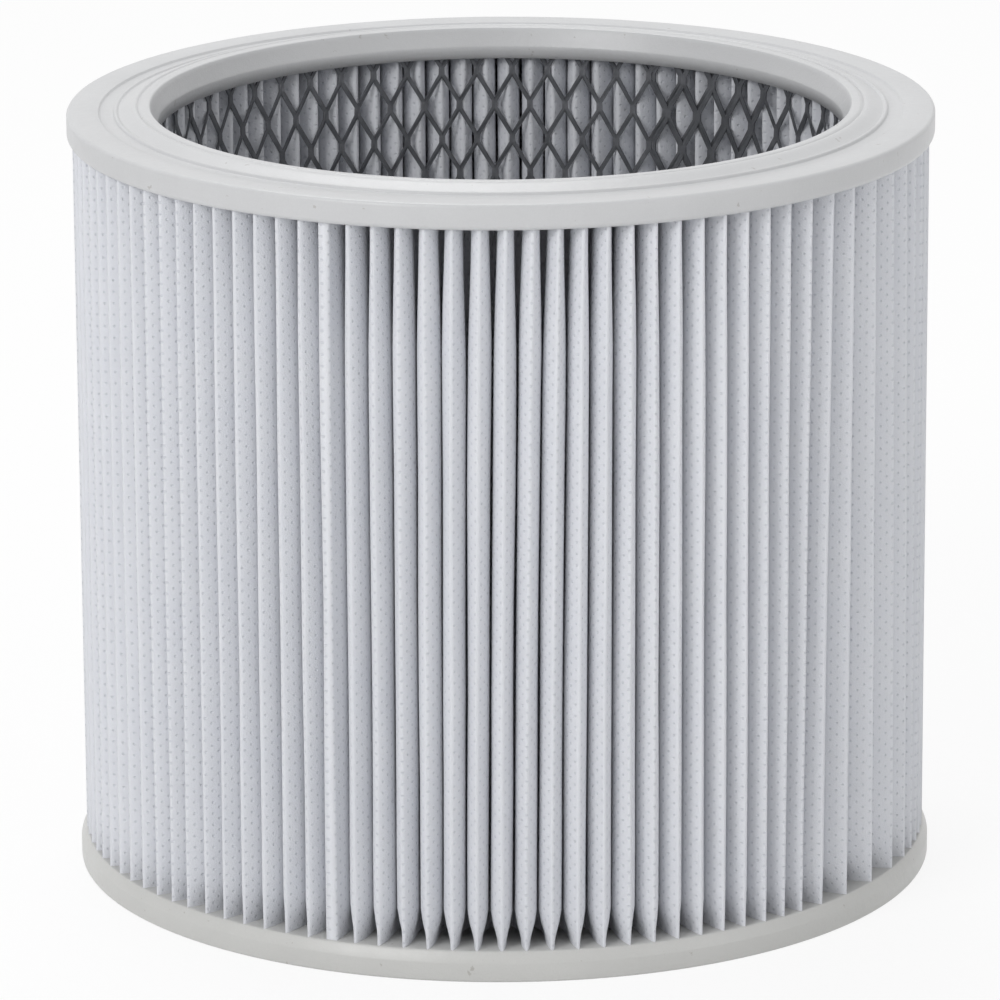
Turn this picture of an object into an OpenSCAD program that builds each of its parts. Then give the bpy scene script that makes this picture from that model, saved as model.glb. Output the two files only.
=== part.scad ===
// Cartridge filter for a wet and dry vacuum cleaner: a ring of pleated cloth on an expanded metal
// tube, moulded at both ends into soft plastic rings. Z is up and the origin is the middle of the
// bottom face. Angles are counted from the front, where Y is negative, and grow to the right.

/* [Overall] */
// Outside diameter of both end caps
cap_d = 200; // [193:1:230]
// Diameter of the hole through both end caps
bore_d = 158; // [130:1:160]
// Height from the bottom face to the crest of the sealing lip
height = 180; // [110:1:320]

/* [Top end cap] */
// Height of the cap's side wall
top_cap_h = 6; // [5:0.1:9]
// Height of the sealing lip above the outer rim
lip_h = 1.3; // [0.6:0.1:2.5]
// Width of the lip's crest
lip_w = 3.6; // [2:0.1:5]
// Width of the flat outer rim
rim_w = 7.6; // [5:0.1:8.4]
// Width of the shallow land inside the outer rim
land_w = 3.6; // [2:0.1:4]
// Depth of the land below the outer rim
land_drop = 0.4; // [0.1:0.1:0.8]
// Radius of the fine bead at the land's inner edge
bead_edge_r = 0.6; // [0.2:0.1:0.8]
// Depth of the slope that leads from the lip into the bore
lead_in_h = 3; // [1:0.1:4]
// Width of the slope that leads from the lip into the bore
lead_in_w = 1.6; // [0.5:0.1:2]
// Radius of the rim's upper edge
rim_edge_r = 0.9; // [0.3:0.1:1.4]
// Radius of the cap's lower outer edge
skirt_edge_r = 1.3; // [0.5:0.1:1.3]

/* [Bottom end cap] */
// Height of the cap from its flat bottom to the face that the pleats stand on
bottom_cap_h = 7; // [5:0.1:10]
// Height of the sloping shoulder round the pleats
shoulder_h = 2.6; // [1:0.1:3.2]
// Radius of the bottom outer edge
foot_edge_r = 0.6; // [0.2:0.1:1]

/* [Pleated cloth] */
// Number of pleats
pleat_count = 98; // [60:1:104]
// Thickness of the cloth
cloth_t = 0.7; // [0.4:0.05:0.9]
// How far the pleat tips stay inside the caps' outer wall
tip_inset = 1.3; // [1.3:0.1:3]
// Outer radius of the round pleat tips
tip_r = 2.2; // [1.4:0.05:2.3]
// Outer radius of the inner folds
fold_r = 1.1; // [1:0.05:1.2]
// How far the ends of the cloth are moulded into the caps
cloth_seat = 2.5; // [1:0.1:4]
// Pleat, counted from the front, where the pleats are spread widest
spread_pleat = 15.5; // [0:0.5:60]
// How much wider the widest pleat is than the others
spread_by = 0.8; // [0:0.05:1]
// How much wider the pleats at the back are than those at the front
back_spread = 0.15; // [0:0.01:0.2]

/* [Expanded metal core] */
// Thickness of the core's wall
core_wall = 0.8; // [0.5:0.1:1.5]
// How far the inside of the core stands back from the bore
core_setback = 0.8; // [0.4:0.1:1.5]
// Diamonds round the core
core_columns = 40; // [24:1:44]
// Height of one diamond, from bond to bond
core_cell_h = 24.5; // [16:0.5:40]
// Width of one strand
strand_w = 1.3; // [0.8:0.1:2]
// How far the ends of the core are moulded into the caps
core_seat = 2.5; // [1:0.1:4]
// Clearance of the core in the slots of the caps
core_slot_gap = 0.1; // [0.07:0.01:0.2]

/* [Hidden] */
$fn = 128;
cap_r = cap_d / 2;
bore_r = bore_d / 2;
// Level of the flat outer rim, and of the face under the top cap
rim_z = height - lip_h;
top_face_z = rim_z - top_cap_h;
// Radii of the top cap's rings, from the bore outwards
lip_in_r = bore_r + lead_in_w;
lip_out_r = lip_in_r + lip_w;
rim_in_r = cap_r - rim_w;
bead_r = rim_in_r - land_w;
// Rounding of the lip's edges, and the fine groove near its outer edge
lip_in_edge = 0.5;
lip_out_edge = 0.8;
groove_w = 0.6;
groove_depth = 0.25;
groove_inset = 0.7;
groove_r = lip_out_r - groove_inset;
// Slope of the step between rim and land
step_w = 0.4;
// The cloth rests on the core inside, and its tips stay inside the caps
core_in_r = bore_r + core_setback;
core_out_r = core_in_r + core_wall;
tip_reach_r = cap_r - tip_inset;
tip_centre_r = tip_reach_r - tip_r;
fold_centre_r = core_out_r + fold_r;
cloth_low_z = bottom_cap_h - cloth_seat;
cloth_high_z = top_face_z + cloth_seat;
core_low_z = bottom_cap_h - core_seat;
core_high_z = top_face_z + core_seat;
// Steps of the arcs, and the share of the bead that stands clear of the lip's outer slope
TIP_STEPS = 5;
FOLD_STEPS = 3;
EDGE_STEPS = 5;
BEAD_ARC = 145;
// How many pleats the spread reaches to each side
SPREAD_REACH = 2;
// Cuts run this far past the faces that they open
PAST = 1;

function sum(list) = list * [for (item = list) 1];
function polar(r, angle) = [r * sin(angle), -r * cos(angle)];
// Points on an arc round centre between two headings, where heading 0 points along X
function arc(centre, r, from, to, steps) = [for (k = [0 : steps])
    let (h = from + (to - from) * k / steps) centre + r * [cos(h), sin(h)]];

// Half section of the top cap, as radius and height, from the bore's lower edge outwards
top_section = concat(
    [[bore_r, top_face_z]],
    arc([cap_r - skirt_edge_r, top_face_z + skirt_edge_r], skirt_edge_r, -90, 0, EDGE_STEPS),
    arc([cap_r - rim_edge_r, rim_z - rim_edge_r], rim_edge_r, 0, 90, EDGE_STEPS),
    [[rim_in_r + step_w, rim_z], [rim_in_r, rim_z - land_drop]],
    arc([bead_r, rim_z - land_drop], bead_edge_r, 0, BEAD_ARC, EDGE_STEPS),
    arc([lip_out_r, height - lip_out_edge], lip_out_edge, 0, 90, EDGE_STEPS),
    [[groove_r + groove_w / 2, height], [groove_r, height - groove_depth], [groove_r - groove_w / 2, height]],
    arc([lip_in_r + lip_in_edge, height - lip_in_edge], lip_in_edge, 90, 180, EDGE_STEPS),
    [[bore_r, rim_z - lead_in_h]]);

// Half section of the bottom cap, from the bore's lower edge outwards
bottom_section = concat(
    [[bore_r, 0]],
    arc([cap_r - foot_edge_r, foot_edge_r], foot_edge_r, -90, 0, EDGE_STEPS),
    [[cap_r, bottom_cap_h - shoulder_h], [tip_reach_r, bottom_cap_h], [bore_r, bottom_cap_h]]);

// Pleats: the width of each one, then the angles of its tip and of the fold on its right
function pleat_width(i) = 1 + spread_by * exp(-pow((i - spread_pleat) / SPREAD_REACH, 2))
    + back_spread * (1 - cos(360 * i / pleat_count)) / 2;
pleat_widths = [for (i = [0 : pleat_count - 1]) pleat_width(i)];
width_total = sum(pleat_widths);
tip_angles = [for (i = 0, a = 0; i <= pleat_count; a = a + 360 * pleat_width(i) / width_total, i = i + 1) a];
fold_angles = [for (i = [0 : pleat_count - 1]) (tip_angles[i] + tip_angles[i + 1]) / 2];

// Heading of the line square to the flank between a tip and a fold that lie half_width apart,
// counted from the tip's own sideways direction: the flank is tangent to both rounds
function flank_heading(half_width) =
    let (across = fold_centre_r * sin(half_width), down = tip_centre_r - fold_centre_r * cos(half_width))
    atan2(down, across) - acos((tip_r + fold_r - cloth_t) / norm([across, down]));

// One face of the folded cloth: set_in is 0 for the outer face and the thickness for the inner
function cloth_face(set_in) = [for (i = [0 : pleat_count - 1])
    let (half = fold_angles[i] - tip_angles[i], next = tip_angles[i + 1],
         half_before = tip_angles[i] - (i == 0 ? fold_angles[pleat_count - 1] - 360 : fold_angles[i - 1]),
         right = flank_heading(half), left = -180 - flank_heading(half_before))
    each concat(
        arc(polar(tip_centre_r, tip_angles[i]), tip_r - set_in,
            tip_angles[i] + left, tip_angles[i] + right, TIP_STEPS),
        arc(polar(fold_centre_r, fold_angles[i]), fold_r - cloth_t + set_in,
            tip_angles[i] + right + 180, next - flank_heading(next - fold_angles[i]), FOLD_STEPS))];

module cloth_outline() {
    outer = cloth_face(0);
    inner = cloth_face(cloth_t);
    count = len(outer);
    polygon(concat(outer, inner), [[for (k = [0 : count - 1]) k], [for (k = [0 : count - 1]) count + k]]);
}

// The body that the caps are moulded round: folded cloth, and the ring that the core stands in
module cloth(low_z, high_z) {
    translate([0, 0, low_z]) linear_extrude(height = high_z - low_z) cloth_outline();
}

module core_slot(low_z, high_z) {
    translate([0, 0, low_z]) difference() {
        cylinder(r = core_out_r, h = high_z - low_z);
        translate([0, 0, -PAST]) cylinder(r = core_in_r - core_slot_gap, h = high_z - low_z + 2 * PAST);
    }
}

module top_end_cap() {
    color([0.77, 0.77, 0.76]) difference() {
        rotate_extrude() polygon(top_section);
        cloth(top_face_z - PAST, cloth_high_z);
        core_slot(top_face_z - PAST, core_high_z);
    }
}

module bottom_end_cap() {
    color([0.75, 0.74, 0.72]) difference() {
        rotate_extrude() polygon(bottom_section);
        cloth(cloth_low_z, bottom_cap_h + PAST);
        core_slot(core_low_z, bottom_cap_h + PAST);
    }
}

module pleated_media() {
    color([0.87, 0.88, 0.92]) cloth(cloth_low_z, cloth_high_z);
}

// Corners of one bond, where four strands meet
LEFT = 0;
RIGHT = 1;
LOW = 2;
HIGH = 3;
RIDGE = 4;
core_levels = round((core_high_z - core_low_z) / (core_cell_h / 2));
level_h = (core_high_z - core_low_z) / core_levels;
column_angle = 360 / core_columns;
// A bond is a little wider than one strand, and longer where its strands part
BOND_WIDTH = 1.1;
BOND_LENGTH = 3;
bond_half_angle = asin(BOND_WIDTH * strand_w / 2 / core_in_r);
bond_half_h = BOND_LENGTH * strand_w / 2;

function place(r, angle, z) = concat(polar(r, angle), z);
// Bonds of odd levels stand half a diamond further round than those of even levels
function bond(k, i) =
    let (a = (i + (k % 2) / 2) * column_angle, z = core_low_z + k * level_h,
         below = k == 0 ? 0 : bond_half_h, above = k == core_levels ? 0 : bond_half_h)
    [place(core_in_r, a - bond_half_angle, z), place(core_in_r, a + bond_half_angle, z),
     place(core_in_r, a, z - below), place(core_in_r, a, z + above), place(core_out_r, a, z)];
// Number of a bond's corner in the list of points
function at(k, i, corner) = 5 * (k * core_columns + (i + core_columns) % core_columns) + corner;
// Two triangles for a patch with four corners
function patch(a, b, c, d) = [[a, b, c], [a, c, d]];
// Strand from bond i of level k up to bond j of the next level, on its right
function strand_right(k, i, j) = concat(
    patch(at(k, i, RIGHT), at(k + 1, j, LOW), at(k + 1, j, LEFT), at(k, i, HIGH)),
    patch(at(k, i, RIGHT), at(k, i, RIDGE), at(k + 1, j, RIDGE), at(k + 1, j, LOW)),
    patch(at(k, i, HIGH), at(k + 1, j, LEFT), at(k + 1, j, RIDGE), at(k, i, RIDGE)));
// The same on its left
function strand_left(k, i, j) = concat(
    patch(at(k, i, LEFT), at(k, i, HIGH), at(k + 1, j, RIGHT), at(k + 1, j, LOW)),
    patch(at(k, i, LEFT), at(k + 1, j, LOW), at(k + 1, j, RIDGE), at(k, i, RIDGE)),
    patch(at(k, i, HIGH), at(k, i, RIDGE), at(k + 1, j, RIDGE), at(k + 1, j, RIGHT)));

module expanded_metal_core() {
    points = [for (k = [0 : core_levels], i = [0 : core_columns - 1]) each bond(k, i)];
    faces = concat(
        [for (k = [0 : core_levels], i = [0 : core_columns - 1])
            each patch(at(k, i, LOW), at(k, i, RIGHT), at(k, i, HIGH), at(k, i, LEFT))],
        [for (k = [0 : core_levels - 1], i = [0 : core_columns - 1])
            each concat(strand_right(k, i, i + k % 2), strand_left(k, i, i + k % 2 - 1))],
        [for (i = [0 : core_columns - 1])
            each patch(at(0, i, LOW), at(0, i, LEFT), at(0, i, RIDGE), at(0, i, RIGHT))],
        [for (i = [0 : core_columns - 1]) each patch(at(core_levels, i, HIGH),
            at(core_levels, i, RIGHT), at(core_levels, i, RIDGE), at(core_levels, i, LEFT))]);
    color([0.33, 0.34, 0.36]) polyhedron(points = points, faces = faces);
}

top_end_cap();
bottom_end_cap();
pleated_media();
expanded_metal_core();
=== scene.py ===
"""Dresses the cartridge filter: the folded cloth, the expanded metal tube and the two soft end rings.

Lengths are written in millimetres and turned into metres by MM. Angles round the filter are counted
from the front, where Y is negative, and grow to the right.
"""

from math import cos, degrees, exp, pi, radians, sin, sqrt

import bmesh
import bpy
from mathutils import Matrix, Vector, noise


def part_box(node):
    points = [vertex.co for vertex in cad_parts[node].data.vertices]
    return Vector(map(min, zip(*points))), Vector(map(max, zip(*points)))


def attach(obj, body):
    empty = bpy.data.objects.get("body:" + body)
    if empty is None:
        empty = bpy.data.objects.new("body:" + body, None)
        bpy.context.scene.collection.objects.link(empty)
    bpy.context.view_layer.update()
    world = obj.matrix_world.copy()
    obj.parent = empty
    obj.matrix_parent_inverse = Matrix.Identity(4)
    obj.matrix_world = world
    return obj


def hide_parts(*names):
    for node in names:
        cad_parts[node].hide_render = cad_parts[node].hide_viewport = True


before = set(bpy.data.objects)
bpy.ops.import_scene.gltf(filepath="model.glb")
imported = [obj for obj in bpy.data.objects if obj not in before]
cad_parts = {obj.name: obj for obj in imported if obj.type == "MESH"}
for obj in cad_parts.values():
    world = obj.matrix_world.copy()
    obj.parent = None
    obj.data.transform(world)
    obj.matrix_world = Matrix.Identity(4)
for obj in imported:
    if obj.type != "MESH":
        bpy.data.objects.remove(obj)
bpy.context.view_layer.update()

MM = 0.001
ONLY_BODY = "root"

# Sizes that the frame gives
top_low, top_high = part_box("top_end_cap")
bottom_low, bottom_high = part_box("bottom_end_cap")
core_low, core_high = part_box("expanded_metal_core")
CAP_R = top_high.x / MM
HEIGHT = top_high.z / MM
TOP_FACE = top_low.z / MM
BOTTOM_FACE = bottom_high.z / MM
CORE_BOTTOM = core_low.z / MM
CORE_TOP = core_high.z / MM

# Sizes that the part's source holds
BORE_R = 79.0
LIP_H = 1.3
RIM_Z = HEIGHT - LIP_H
TIP_R = CAP_R - 1.3
CORE_IN_R = 79.8
CORE_OUT_R = 80.6
PLEATS = 98


def polar(radius, angle, z=0.0):
    """A point at a radius and an angle from the front, in millimetres, as a vector in metres."""
    return Vector((radius * sin(angle), -radius * cos(angle), z)) * MM


def between(low, high, share):
    return low + (high - low) * share


def ease(x):
    """Rises smoothly from 0 to 1 while x does."""
    x = min(1.0, max(0.0, x))
    return x * x * (3 - 2 * x)


def bell(x, centre, reach):
    return exp(-((x - centre) / reach) ** 2)


# Building pieces


def make_piece(name, bm, material, replaces=None):
    """Turns a bmesh into a smooth piece that rides on the filter."""
    mesh = bpy.data.meshes.new(name)
    bm.to_mesh(mesh)
    bm.free()
    mesh.materials.append(material)
    for face in mesh.polygons:
        face.use_smooth = True
    piece = bpy.data.objects.new(name, mesh)
    bpy.context.scene.collection.objects.link(piece)
    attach(piece, ONLY_BODY)
    if replaces:
        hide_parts(replaces)
    return piece


def spin_ring(section, steps):
    """Spins a closed section, given as radius and height in millimetres, round the filter's axis."""
    bm = bmesh.new()
    corners = [bm.verts.new(polar(radius, 0, z)) for radius, z in section]
    edges = [bm.edges.new((corners[k - 1], corners[k])) for k in range(len(corners))]
    bmesh.ops.spin(bm, geom=corners + edges, cent=(0, 0, 0), axis=(0, 0, 1), dvec=(0, 0, 0),
                   angle=2 * pi, steps=steps, use_merge=True)
    bmesh.ops.remove_doubles(bm, verts=bm.verts, dist=0.001 * MM)
    bmesh.ops.recalc_face_normals(bm, faces=bm.faces)
    return bm


def arc(centre, radius, start, end, steps=4):
    """Points of a round edge between two headings in degrees, where 0 points outwards."""
    return [(centre[0] + radius * cos(radians(between(start, end, k / steps))),
             centre[1] + radius * sin(radians(between(start, end, k / steps))))
            for k in range(steps + 1)]


# Materials


class Shade:
    """A short way to write a material's nodes."""

    def __init__(self, name, **sockets):
        self.material = bpy.data.materials.new(name)
        self.material.use_nodes = True
        self.tree = self.material.node_tree
        self.surface = self.tree.nodes["Principled BSDF"]
        for socket, value in sockets.items():
            self.surface.inputs[socket.replace("_", " ").capitalize()].default_value = value

    def node(self, kind, **settings):
        made = self.tree.nodes.new(kind)
        for setting, value in settings.items():
            setattr(made, setting, value)
        return made

    def fill(self, socket, value):
        if hasattr(value, "is_output"):
            self.tree.links.new(value, socket)
        else:
            socket.default_value = value

    def math(self, operation, *values, clamp=False):
        made = self.node("ShaderNodeMath", operation=operation, use_clamp=clamp)
        for socket, value in zip(made.inputs, values):
            self.fill(socket, value)
        return made.outputs[0]

    def vector(self, operation, *values):
        made = self.node("ShaderNodeVectorMath", operation=operation)
        for socket, value in zip(made.inputs, values):
            self.fill(socket, value)
        return made.outputs["Value" if operation in ("DISTANCE", "LENGTH") else "Vector"]

    def place(self):
        """The point on the object, in millimetres."""
        coordinates = self.node("ShaderNodeTexCoord").outputs["Object"]
        return self.vector("MULTIPLY", coordinates, (1000, 1000, 1000))

    def noise(self, place, size, detail=3.0, roughness=0.55, stretch=(1, 1, 1)):
        """Noise with features of about that size in millimetres, from 0 to 1."""
        scaled = self.vector("MULTIPLY", place, tuple(axis / size for axis in stretch))
        made = self.node("ShaderNodeTexNoise")
        self.fill(made.inputs["Vector"], scaled)
        made.inputs["Scale"].default_value = 1
        made.inputs["Detail"].default_value = detail
        made.inputs["Roughness"].default_value = roughness
        return made.outputs["Fac"]

    def ramp(self, value, *stops):
        """Maps a value through stops of (position, grey or colour)."""
        made = self.node("ShaderNodeValToRGB")
        elements = made.color_ramp.elements
        while len(elements) < len(stops):
            elements.new(0.5)
        for element, (position, colour) in zip(elements, stops):
            element.position = position
            element.color = (*colour, 1) if hasattr(colour, "__len__") else (colour, colour, colour, 1)
        self.fill(made.inputs["Fac"], value)
        return made.outputs["Color"]

    def mix(self, share, first, second, blend="MIX"):
        made = self.node("ShaderNodeMix", data_type="RGBA", blend_type=blend)
        self.fill(made.inputs["Factor"], share)
        for socket, colour in (("A", first), ("B", second)):
            self.fill(next(i for i in made.inputs if i.name == socket and i.type == "RGBA"),
                      colour if hasattr(colour, "is_output") else (*colour, 1))
        return next(o for o in made.outputs if o.type == "RGBA")

    def bump(self, height, distance, strength=1.0, under=None):
        """Bump from a height of 0 to 1 that stands for a distance in millimetres."""
        made = self.node("ShaderNodeBump")
        made.inputs["Strength"].default_value = strength
        made.inputs["Distance"].default_value = distance * MM
        self.fill(made.inputs["Height"], height)
        if under is not None:
            self.fill(made.inputs["Normal"], under)
        return made.outputs["Normal"]

    def set(self, socket, value):
        self.fill(self.surface.inputs[socket], value)


# Folded cloth

CLOTH_T = 0.6
SPREAD_PLEAT, SPREAD_BY, SPREAD_REACH, BACK_SPREAD = 15.5, 0.8, 2, 0.15
SEAM_PLEAT = 91
# The middle of the cloth's thickness, at the tips outside and at the folds on the core
TIP_MID_R = TIP_R - CLOTH_T / 2
FOLD_MID_R = CORE_OUT_R + 0.1 + CLOTH_T / 2
PLEAT_DEPTH = TIP_MID_R - FOLD_MID_R
# Pleats and folds open to their widest over this depth, and leave this gap between them
BULGE_DEPTH = 5.6
BULGE_POWER = 1.8
PLEAT_GAP = 0.3
PINCH_BELOW = 8
PINCH_ABOVE = 30
FOOT_BULGE = 0.3
TOP_BULGE = 0.72
SEAM_HALF = 0.95
# Depths below the tip where the cloth has a column of points, from the tip to the inner fold
DEPTHS = [0, 0.25, 0.8, 1.7, 3, 4.6, 6.6, 8.7] + [PLEAT_DEPTH - up for up in (6.6, 4.2, 2, 0.6, 0)]
# Heights above the bottom cap's face where it has a row, up to the middle and then down from the top
ROWS_UP = [-2.5, 0, 1.2, 2.8, 5, 8, 12, 22, 38, 58, 80]
ROWS_DOWN = [58, 40, 28, 18, 10, 4, 0, -2.5]


def pleat_angles():
    """Angles of the tips, the same as in the part's source, with one more that closes the ring."""
    widths = [1 + SPREAD_BY * bell(i, SPREAD_PLEAT, SPREAD_REACH)
              + BACK_SPREAD * (1 - cos(2 * pi * i / PLEATS)) / 2 for i in range(PLEATS)]
    angles = [0.0]
    for width in widths:
        angles.append(angles[-1] + 2 * pi * width / sum(widths))
    return angles


TIPS = pleat_angles()


def lean(angle, z):
    """How far a pleat leans round the filter at a height, for one at that angle."""
    side = (degrees(angle) + 180) % 360 - 180
    top_to_bottom = 1.2 * bell(side, 4, 12) + 1.5 * bell(side, 47, 6) - 2.2 * bell(side, 69, 8)
    share = max(0.0, (z - BOTTOM_FACE) / (TOP_FACE - BOTTOM_FACE))
    ripple = 0.16 * noise.noise((side * 0.9, z / 45, 3.1))
    return radians(top_to_bottom * (share ** 1.3 - 0.42) + ripple)


def opening(distance):
    """Rises from 0 at a crease to 1 where the cloth has opened to its widest."""
    return 1 - (1 - min(1.0, distance / BULGE_DEPTH)) ** BULGE_POWER


def half_width(depth, half_angle, bulge, gap):
    """Half the width of a pleat at a depth below its tip, in millimetres."""
    half_pitch = (TIP_MID_R - depth) * half_angle
    least = (CLOTH_T + gap) / 2
    outside = (half_pitch - least) * bulge * opening(depth)
    inside = half_pitch - (half_pitch - least) * opening(PLEAT_DEPTH - depth)
    return between(outside, inside, ease((depth - BULGE_DEPTH) / (PLEAT_DEPTH - 2 * BULGE_DEPTH)))


def fold_point(column, z):
    """Where a column of the flat cloth comes to lie when it is folded round the core."""
    flank = len(DEPTHS) - 1
    pleat, step = divmod(column, 2 * flank)
    step -= flank
    side = 1 if step >= 0 else -1
    tip = TIPS[pleat]
    before = TIPS[pleat - 1] if pleat else TIPS[PLEATS - 1] - 2 * pi
    half_angle = (TIPS[pleat + 1] - tip) / 2 if side > 0 else (tip - before) / 2
    depth = DEPTHS[abs(step)]
    bulge = (between(FOOT_BULGE, 1, ease((z - BOTTOM_FACE) / PINCH_BELOW))
             * between(TOP_BULGE, 1, ease((TOP_FACE - z) / PINCH_ABOVE)))
    gap = PLEAT_GAP * (1 + noise.noise((pleat * 1.7, z / 60, 0.5)))
    half = half_width(depth, half_angle, bulge, gap)
    if pleat == SEAM_PLEAT:
        half = max(half, SEAM_HALF * min(1.0, depth / 0.2))
        depth = max(depth, 0.45 - 0.45 * abs(step))
    radius = TIP_MID_R - depth
    angle = tip + side * half / radius
    return polar(radius, angle + lean(angle, z), z)


def cloth_rows():
    return [BOTTOM_FACE + up for up in ROWS_UP] + [TOP_FACE - down for down in ROWS_DOWN]


def make_cloth(material):
    """Starts from the flat cloth, one column of points for each depth of each flank, and folds it."""
    heights = cloth_rows()
    flank = len(DEPTHS) - 1
    columns = 2 * flank * PLEATS
    bm = bmesh.new()
    bmesh.ops.create_grid(bm, x_segments=columns, y_segments=len(heights) - 1, size=0.5)
    uv = bm.loops.layers.uv.new("flat_cloth")
    middle = (BOTTOM_FACE + TOP_FACE) / 2
    line = [fold_point(k % columns, middle) for k in range(columns + 1)]
    along = [0.0]
    for k in range(columns):
        along.append(along[-1] + (line[k + 1] - line[k]).length)
    spots = {}
    for vert in bm.verts:
        column = round((vert.co.x + 0.5) * columns)
        row = round((vert.co.y + 0.5) * (len(heights) - 1))
        spots[vert] = (column, row)
    for face in bm.faces:
        for loop in face.loops:
            column, row = spots[loop.vert]
            loop[uv].uv = (along[column], heights[row] * MM)
    for vert, (column, row) in spots.items():
        vert.co = fold_point(column % columns, heights[row])
    bmesh.ops.remove_doubles(bm, verts=bm.verts, dist=0.001 * MM)
    piece = make_piece("pleated_cloth", bm, material, replaces="pleated_media")
    wall = piece.modifiers.new("cloth_thickness", "SOLIDIFY")
    wall.thickness = CLOTH_T * MM
    wall.offset = 0
    return piece


def cloth_material():
    """White point-bonded cloth: staggered bond dots pressed into a felt of fine fibres."""
    shade = Shade("filter_cloth", roughness=0.85)
    shade.surface.inputs["Sheen Weight"].default_value = 0.15
    flat = shade.node("ShaderNodeUVMap", uv_map="flat_cloth").outputs["UV"]
    cell = shade.vector("DIVIDE", flat, (3.0 * MM, 2.67 * MM, 1))
    dots = []
    for shift in (0.0, 0.5):
        moved = shade.vector("ADD", cell, (shift, shift, 0))
        inside = shade.vector("SUBTRACT", shade.vector("FRACTION", moved), (0.5, 0.5, 0))
        dots.append(shade.vector("LENGTH", shade.vector("MULTIPLY", inside, (3.0, 2.67, 0))))
    nearest = shade.math("MINIMUM", *dots)
    dot = shade.math("SUBTRACT", 1.0, shade.math("DIVIDE", shade.math("SUBTRACT", nearest, 0.14), 0.24),
                     clamp=True)
    place = shade.place()
    fibres = shade.noise(place, 0.35, detail=4)
    cloud = shade.noise(place, 14, detail=2)
    colour = shade.mix(cloud, (0.70, 0.715, 0.76), (0.75, 0.76, 0.79))
    colour = shade.mix(shade.math("MULTIPLY", fibres, 0.2), colour, (0.5, 0.52, 0.56))
    colour = shade.mix(shade.math("MULTIPLY", dot, 0.24), colour, (0.36, 0.39, 0.46))
    shade.set("Base Color", colour)
    shade.set("Normal", shade.bump(fibres, 0.12, under=shade.bump(
        shade.math("SUBTRACT", 1.0, dot), 0.12)))
    return shade.material


# Expanded metal

DIAMONDS_ROUND = 59.15
OVERLAP = 4
ROW_TOP = 169.6
HALF_ROW = 8.46
STRAND = 0.8
KNUCKLE = 2.0
KNUCKLE_SPREAD = 0.3
METAL_T = 0.4
STRAND_TILT = 0.22
LAP_START = radians(129.3)


def frame_strands(bm, pitch, columns):
    """Frames every six-sided hole of the flat sheet with half strands, tilted as cutting leaves them."""
    rows = int((ROW_TOP - CORE_BOTTOM) / HALF_ROW) + 2
    holes = []
    for row in range(-1, rows):
        z = ROW_TOP - row * HALF_ROW
        for column in range(-1, columns + 1):
            left = (column + (row % 2) / 2) * pitch
            outline = [(left, z - KNUCKLE / 2), (left + pitch / 2, z - HALF_ROW + KNUCKLE / 2),
                       (left + pitch, z - KNUCKLE / 2), (left + pitch, z + KNUCKLE / 2),
                       (left + pitch / 2, z + HALF_ROW - KNUCKLE / 2), (left, z + KNUCKLE / 2)]
            holes.append(bm.faces.new([bm.verts.new((x * MM, 0, height * MM)) for x, height in outline]))
    bmesh.ops.remove_doubles(bm, verts=bm.verts, dist=0.01 * MM)
    bmesh.ops.inset_individual(bm, faces=holes, thickness=STRAND / 2 * MM, use_even_offset=True)
    for hole in holes:
        centre = hole.calc_center_median()
        for vert in hole.verts:
            up = (vert.co.z - centre.z) / (HALF_ROW * MM)
            vert.co.y = STRAND_TILT * MM * max(-1, min(1, 2.5 * up))
            if abs(up) < 0.3:
                vert.co.x += KNUCKLE_SPREAD * MM * (1 if vert.co.x < centre.x else -1)
    bmesh.ops.delete(bm, geom=holes, context="FACES_ONLY")


def cut_sheet(bm, length):
    """Shears the flat sheet to its length and height, which leaves the loose ends of cut strands."""
    for point, normal in (((0, 0, CORE_BOTTOM), (0, 0, -1)), ((0, 0, CORE_TOP), (0, 0, 1)),
                          ((0, 0, 0), (-1, 0, 0)), ((length, 0, 0), (1, 0, 0))):
        bmesh.ops.bisect_plane(bm, geom=bm.verts[:] + bm.edges[:] + bm.faces[:], dist=0.001 * MM,
                               plane_co=Vector(point) * MM, plane_no=normal, clear_outer=True)


def make_core(material):
    """The expanded metal sheet, cut and tilted flat and then rolled, with its ends lapped."""
    pitch = 2 * pi * CORE_IN_R / DIAMONDS_ROUND
    columns = int(DIAMONDS_ROUND) + OVERLAP
    bm = bmesh.new()
    frame_strands(bm, pitch, columns)
    cut_sheet(bm, columns * pitch)
    bmesh.ops.solidify(bm, geom=bm.faces[:], thickness=METAL_T * MM)
    lap_from = (columns - OVERLAP - 1) * pitch
    for vert in bm.verts:
        along = vert.co.x / MM
        inward = (METAL_T + 0.25) * ease((along - lap_from) / pitch)
        radius = CORE_OUT_R - METAL_T / 2 - STRAND_TILT / 2 + vert.co.y / MM - inward
        vert.co = polar(radius, LAP_START + along / CORE_IN_R, vert.co.z / MM)
    bmesh.ops.recalc_face_normals(bm, faces=bm.faces)
    piece = make_piece("core_tube", bm, material, replaces="expanded_metal_core")
    for face in piece.data.polygons:
        face.use_smooth = False
    return piece


def metal_material():
    """Dull grey steel that the cutting has left a little brighter in places."""
    shade = Shade("core_metal", metallic=0.55, roughness=0.42)
    place = shade.place()
    cloud = shade.noise(place, 5, detail=3)
    shade.set("Base Color", shade.ramp(cloud, (0.3, (0.11, 0.115, 0.125)), (0.75, (0.19, 0.195, 0.21))))
    shade.set("Normal", shade.bump(shade.noise(place, 0.5), 0.05))
    return shade.material


# Soft end rings


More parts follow.
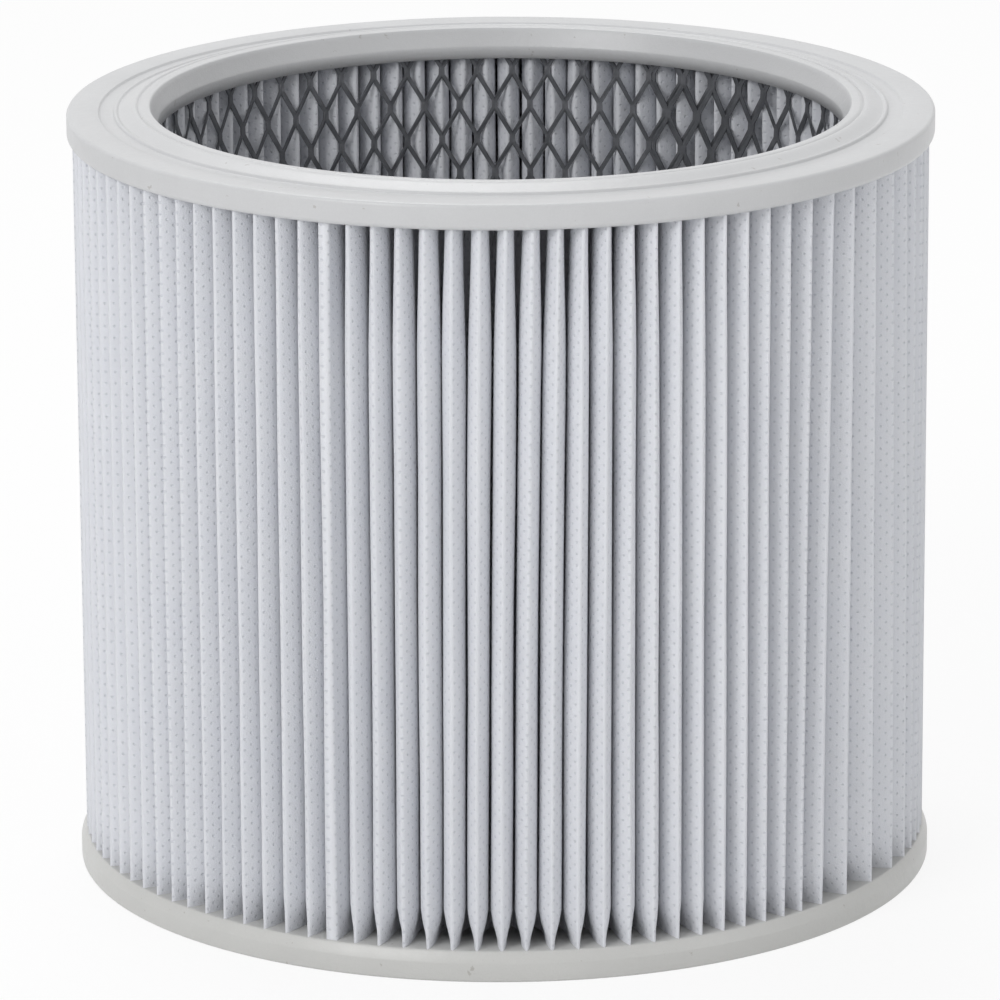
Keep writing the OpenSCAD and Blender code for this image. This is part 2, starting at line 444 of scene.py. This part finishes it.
def top_section():
    """Half section of the top ring, from the bore's lower edge outwards and back over the lip."""
    skirt_r, rim_r = 1.4, 0.9
    return ([(BORE_R, TOP_FACE)]
            + arc((CAP_R - skirt_r, TOP_FACE + skirt_r), skirt_r, -90, 0, 5)
            + arc((CAP_R - rim_r, RIM_Z - rim_r), rim_r, 0, 90, 5)
            + [(96, RIM_Z), (92.75, RIM_Z), (92.6, RIM_Z - 0.05), (92.42, RIM_Z - 0.5), (92.3, RIM_Z - 0.55)]
            + [(89.5, RIM_Z - 0.5), (89.2, RIM_Z - 0.42)]
            + arc((88.6, RIM_Z - 0.3), 0.55, 10, 160, 5)
            + [(87.9, RIM_Z - 0.1), (87.2, RIM_Z + 0.15), (86.2, RIM_Z + 0.62), (85.2, RIM_Z + 1.06)]
            + [(84.6, HEIGHT - 0.04), (84.2, HEIGHT), (83.85, HEIGHT), (83.65, HEIGHT - 0.3)]
            + [(83.45, HEIGHT - 0.3), (83.25, HEIGHT), (82.2, HEIGHT), (81.4, HEIGHT - 0.03)]
            + arc((81.2, HEIGHT - 0.6), 0.57, 90, 150, 4)
            + [(80.4, RIM_Z + 0.2), (79.4, RIM_Z - 2.3), (79.08, RIM_Z - 2.95), (BORE_R, RIM_Z - 3.2)])


def bottom_section():
    """Half section of the bottom ring, from the bore's lower edge outwards."""
    foot_r, shoulder_h = 0.6, 2.6
    return ([(BORE_R, 0)]
            + arc((CAP_R - foot_r, foot_r), foot_r, -90, 0, 4)
            + [(CAP_R, 2), (CAP_R, BOTTOM_FACE - shoulder_h - 0.2),
               (CAP_R - 0.08, BOTTOM_FACE - shoulder_h + 0.1), (TIP_R + 0.25, BOTTOM_FACE - 0.4),
               (TIP_R, BOTTOM_FACE - 0.08), (TIP_R - 0.3, BOTTOM_FACE), (90, BOTTOM_FACE),
               (BORE_R, BOTTOM_FACE)])


def make_ring(name, section, material, node):
    """One soft ring, spun from its section, with the slight unevenness of a poured part."""
    bm = spin_ring(section, 256)
    for vert in bm.verts:
        outwards = Vector((vert.co.x, vert.co.y, 0)).normalized()
        drift = noise.noise(vert.co * 22) * 0.05 + noise.noise(vert.co * 90) * 0.02
        if BORE_R + 0.1 < vert.co.xy.length / MM < CAP_R - 0.3:
            lifted = vert.co.z + drift * MM * (0 if vert.co.z < 0.5 * MM else 1)
            vert.co.z = min(lifted, HEIGHT * MM)
        elif vert.co.xy.length / MM > CAP_R - 0.3:
            vert.co -= outwards * abs(drift) * MM
    return make_piece(name, bm, material, replaces=node)


def ring_material(name, tint):
    """Satin moulded plastic: faint clouds, a fine grain and a few dark specks."""
    shade = Shade(name, roughness=0.34)
    shade.surface.inputs["Specular IOR Level"].default_value = 0.45
    shade.surface.inputs["Subsurface Weight"].default_value = 0.0
    place = shade.place()
    cloud = shade.noise(place, 25, detail=3)
    grain = shade.noise(place, 0.4, detail=2)
    blotch = shade.noise(place, 2.2, detail=3)
    light = tuple(c * 1.06 for c in tint)
    dark = tuple(c * 0.93 for c in tint)
    colour = shade.mix(cloud, dark, light)
    colour = shade.mix(shade.math("MULTIPLY", grain, 0.14), colour, (0.3, 0.3, 0.3))
    speck = shade.ramp(blotch, (0.26, 1), (0.3, 0))
    colour = shade.mix(shade.math("MULTIPLY", speck, 0.35), colour, (0.2, 0.17, 0.14))
    shade.set("Base Color", colour)
    shade.set("Roughness", shade.math("ADD", 0.27, shade.math("MULTIPLY", blotch, 0.14)))
    shade.set("Normal", shade.bump(grain, 0.04, under=shade.bump(blotch, 0.08)))
    return shade.material


# Studio

CAMERA_BACK = 1.61455
CAMERA_UP = 0.35822
CAMERA_PITCH = 0.2734
CAMERA_ROLL = -0.0054
FOCAL_PIXELS = 7167.1
PICTURE_PIXELS = 1000
AIM_PIXELS = 2.87
SENSOR = 36.0


def set_camera():
    """A long lens in front of the filter, at the place that the outlines of its rings give."""
    data = bpy.data.cameras.new("camera")
    data.sensor_width = SENSOR
    data.lens = FOCAL_PIXELS / PICTURE_PIXELS * SENSOR
    camera = bpy.data.objects.new("camera", data)
    turn = (Matrix.Rotation(AIM_PIXELS / FOCAL_PIXELS, 4, "Z")
            @ Matrix.Rotation(pi / 2 - CAMERA_PITCH, 4, "X")
            @ Matrix.Rotation(CAMERA_ROLL, 4, "Z"))
    camera.matrix_world = Matrix.Translation((0, -CAMERA_BACK, RIM_Z * MM + CAMERA_UP)) @ turn
    bpy.context.scene.collection.objects.link(camera)
    bpy.context.scene.camera = camera


def add_softbox(name, place, size, watts, target=(0, 0, 0.1)):
    """A square soft light at a place, turned to the filter."""
    data = bpy.data.lights.new(name, "AREA")
    data.shape = "RECTANGLE"
    data.size, data.size_y = size
    data.energy = watts
    lamp = bpy.data.objects.new(name, data)
    lamp.location = place
    lamp.rotation_euler = (Vector(target) - Vector(place)).to_track_quat("-Z", "Y").to_euler()
    bpy.context.scene.collection.objects.link(lamp)


def seen_share(tree):
    """1 for what the camera, a reflection or a clear material sees, and 0 for what only gives light."""
    path = tree.nodes.new("ShaderNodeLightPath")
    total = None
    for ray in ("Is Camera Ray", "Is Glossy Ray", "Is Transmission Ray"):
        made = tree.nodes.new("ShaderNodeMath")
        made.operation = "MAXIMUM"
        tree.links.new(path.outputs[ray], made.inputs[0])
        if total is None:
            made.inputs[1].default_value = 0
        else:
            tree.links.new(total, made.inputs[1])
        total = made.outputs[0]
    return total


WORLD_LIGHT = 0.55
FLOOR_GLOW = 0.86


def light_studio():
    world = bpy.data.worlds.new("studio")
    bpy.context.scene.world = world
    world.use_nodes = True
    tree = world.node_tree
    background = tree.nodes["Background"]
    background.inputs["Color"].default_value = (1, 1, 1, 1)
    strength = tree.nodes.new("ShaderNodeMapRange")
    tree.links.new(seen_share(tree), strength.inputs["Value"])
    strength.inputs["To Min"].default_value = WORLD_LIGHT
    strength.inputs["To Max"].default_value = 1
    tree.links.new(strength.outputs["Result"], background.inputs["Strength"])
    add_softbox("key_left", (-1.1, -1.5, 1.15), (0.9, 0.9), 17)
    add_softbox("fill_right", (1.5, -1.1, 0.7), (1.0, 1.0), 4)
    add_softbox("top_back", (-0.2, 0.7, 1.5), (0.8, 0.8), 9)


def add_floor():
    """A wide pale floor that keeps a little of the shadow, and white backdrop beyond it."""
    bm = bmesh.new()
    bmesh.ops.create_grid(bm, x_segments=1, y_segments=1, size=6)
    mesh = bpy.data.meshes.new("floor")
    bm.to_mesh(mesh)
    bm.free()
    material = bpy.data.materials.new("floor")
    material.use_nodes = True
    tree = material.node_tree
    surface = tree.nodes["Principled BSDF"]
    surface.inputs["Base Color"].default_value = (0.9, 0.9, 0.9, 1)
    surface.inputs["Roughness"].default_value = 1
    surface.inputs["Specular IOR Level"].default_value = 0
    glow = tree.nodes.new("ShaderNodeEmission")
    glow.inputs["Color"].default_value = (1, 1, 1, 1)
    blend = tree.nodes.new("ShaderNodeMixShader")
    share = tree.nodes.new("ShaderNodeMath")
    share.operation = "MULTIPLY"
    tree.links.new(seen_share(tree), share.inputs[0])
    share.inputs[1].default_value = FLOOR_GLOW
    tree.links.new(share.outputs[0], blend.inputs["Fac"])
    tree.links.new(surface.outputs[0], blend.inputs[1])
    tree.links.new(glow.outputs[0], blend.inputs[2])
    tree.links.new(blend.outputs[0], tree.nodes["Material Output"].inputs["Surface"])
    mesh.materials.append(material)
    floor = bpy.data.objects.new("floor", mesh)
    bpy.context.scene.collection.objects.link(floor)


bpy.context.scene.view_settings.view_transform = "Standard"
set_camera()
light_studio()
add_floor()
make_core(metal_material())
make_cloth(cloth_material())
make_ring("top_ring", top_section(), ring_material("top_ring_plastic", (0.57, 0.575, 0.585)), "top_end_cap")
make_ring("bottom_ring", bottom_section(), ring_material("bottom_ring_plastic", (0.56, 0.56, 0.545)),
          "bottom_end_cap")
